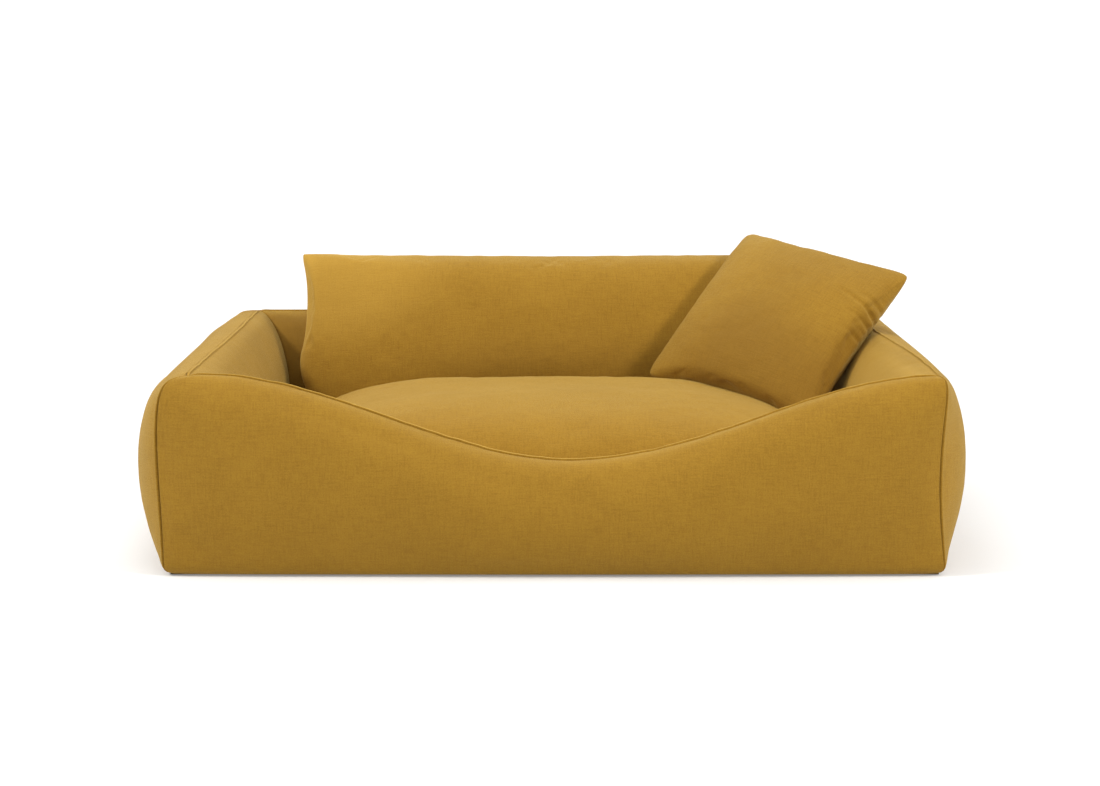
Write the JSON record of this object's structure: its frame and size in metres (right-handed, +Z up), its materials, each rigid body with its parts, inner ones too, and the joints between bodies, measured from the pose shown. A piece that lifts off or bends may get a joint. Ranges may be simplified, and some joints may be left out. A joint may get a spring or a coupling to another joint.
{
  "type": "dog bed with frame",
  "caption": "Rectangular padded dog bed: stuffed fabric walls that dip low at the front round a tray, a thick domed mattress, a long back cushion and a small loose square cushion.",
  "frame": {"origin": "centre of the footprint, on the floor", "axes": "+Z up, +X to the right as seen from in front of the low side, +Y to the back"},
  "size_m": [1.0908, 0.7894, 0.3828],
  "materials": {
    "cover_cloth": "matte mustard-coloured woven cloth with a slubby, brushed surface",
    "underside_cloth": "plain darker lining cloth",
    "foam": "open-cell upholstery foam, inside the covers",
    "fibre_fill": "white polyester fibre in a thin inner case, inside the covers",
    "zip_tape": "narrow woven tape and moulded coil in the cover's colour",
    "zip_metal": "satin"
  },
  "bodies": {
    "frame": {"base_panel": "underside_cloth", "base_foam": "foam", "tray_floor_lining": "underside_cloth", "front_wall_foam": "foam", "front_outer_panel": "cover_cloth", "front_inner_lining": "cover_cloth", "right_wall_foam": "foam", "right_outer_panel": "cover_cloth", "right_inner_lining": "cover_cloth", "back_wall_foam": "foam", "back_outer_panel": "cover_cloth", "back_inner_lining": "cover_cloth", "left_wall_foam": "foam", "left_outer_panel": "cover_cloth", "left_inner_lining": "cover_cloth", "frame_zip_tape": "zip_tape", "frame_zip_chain": "zip_tape"},
    "mattress": {"mattress_top_cover": "cover_cloth", "mattress_bottom_cover": "cover_cloth", "mattress_fibre_topper": "fibre_fill", "mattress_foam_slab": "foam", "mattress_zip_tape": "zip_tape", "mattress_zip_chain": "zip_tape"},
    "back_pillow": {"back_pillow_front_cover": "cover_cloth", "back_pillow_rear_cover": "cover_cloth", "back_pillow_insert": "fibre_fill", "back_pillow_zip_tape": "zip_tape", "back_pillow_zip_chain": "zip_tape"},
    "scatter_pillow": {"scatter_pillow_front_cover": "cover_cloth", "scatter_pillow_rear_cover": "cover_cloth", "scatter_pillow_insert": "fibre_fill", "scatter_pillow_zip_tape": "zip_tape", "scatter_pillow_zip_chain": "zip_tape"},
    "frame_zip_slider": {"frame_zip_slider": "zip_metal"},
    "frame_zip_pull": {"frame_zip_pull": "zip_metal"},
    "mattress_zip_slider": {"mattress_zip_slider": "zip_metal"},
    "mattress_zip_pull": {"mattress_zip_pull": "zip_metal"},
    "back_pillow_zip_slider": {"back_pillow_zip_slider": "zip_metal"},
    "back_pillow_zip_pull": {"back_pillow_zip_pull": "zip_metal"},
    "scatter_pillow_zip_slider": {"scatter_pillow_zip_slider": "zip_metal"},
    "scatter_pillow_zip_pull": {"scatter_pillow_zip_pull": "zip_metal"}
  },
  "joints": [
    {"name": "mattress_lift", "type": "slide", "parent": "frame", "child": "mattress", "axis": [0, 0, 1], "range_m": [0, 0.28]},
    {"name": "back_pillow_lift", "type": "slide", "parent": "mattress", "child": "back_pillow", "axis": [0, 0, 1], "range_m": [0, 0.3]},
    {"name": "scatter_pillow_lift", "type": "slide", "parent": "back_pillow", "child": "scatter_pillow", "axis": [0, 0, 1], "range_m": [0, 0.25]},
    {"name": "frame_zip_slide", "type": "slide", "parent": "frame", "child": "frame_zip_slider", "axis": [1, 0, 0], "range_m": [0, 0.604]},
    {"name": "frame_zip_pull_swing", "type": "hinge", "parent": "frame_zip_slider", "child": "frame_zip_pull", "pos_m": [-0.302, 0.39013, 0.02826], "axis": [0, 0.217, 0.9762], "range_deg": [0, 160]},
    {"name": "mattress_zip_slide", "type": "slide", "parent": "mattress", "child": "mattress_zip_slider", "axis": [-1, 0, 0], "range_m": [0, 0.564]},
    {"name": "mattress_zip_pull_swing", "type": "hinge", "parent": "mattress_zip_slider", "child": "mattress_zip_pull", "pos_m": [0.282, 0.2429, 0.0745], "axis": [0, 0, -1], "range_deg": [0, 160]},
    {"name": "back_pillow_zip_slide", "type": "slide", "parent": "back_pillow", "child": "back_pillow_zip_slider", "axis": [1, -0.0002, -0.0004], "range_m": [0, 0.424]},
    {"name": "back_pillow_zip_pull_swing", "type": "hinge", "parent": "back_pillow_zip_slider", "child": "back_pillow_zip_pull", "pos_m": [-0.212, 0.25809, 0.14639], "axis": [0.0005, 0.5744, 0.8186], "range_deg": [0, 160]},
    {"name": "scatter_pillow_zip_slide", "type": "slide", "parent": "scatter_pillow", "child": "scatter_pillow_zip_slider", "axis": [-0.5193, -0.4328, -0.7369], "range_m": [0, 0.114]},
    {"name": "scatter_pillow_zip_pull_swing", "type": "hinge", "parent": "scatter_pillow_zip_slider", "child": "scatter_pillow_zip_pull", "pos_m": [0.45459, 0.11266, 0.29939], "axis": [0.6297, -0.7767, 0.0124], "range_deg": [0, 160]}
  ]
}
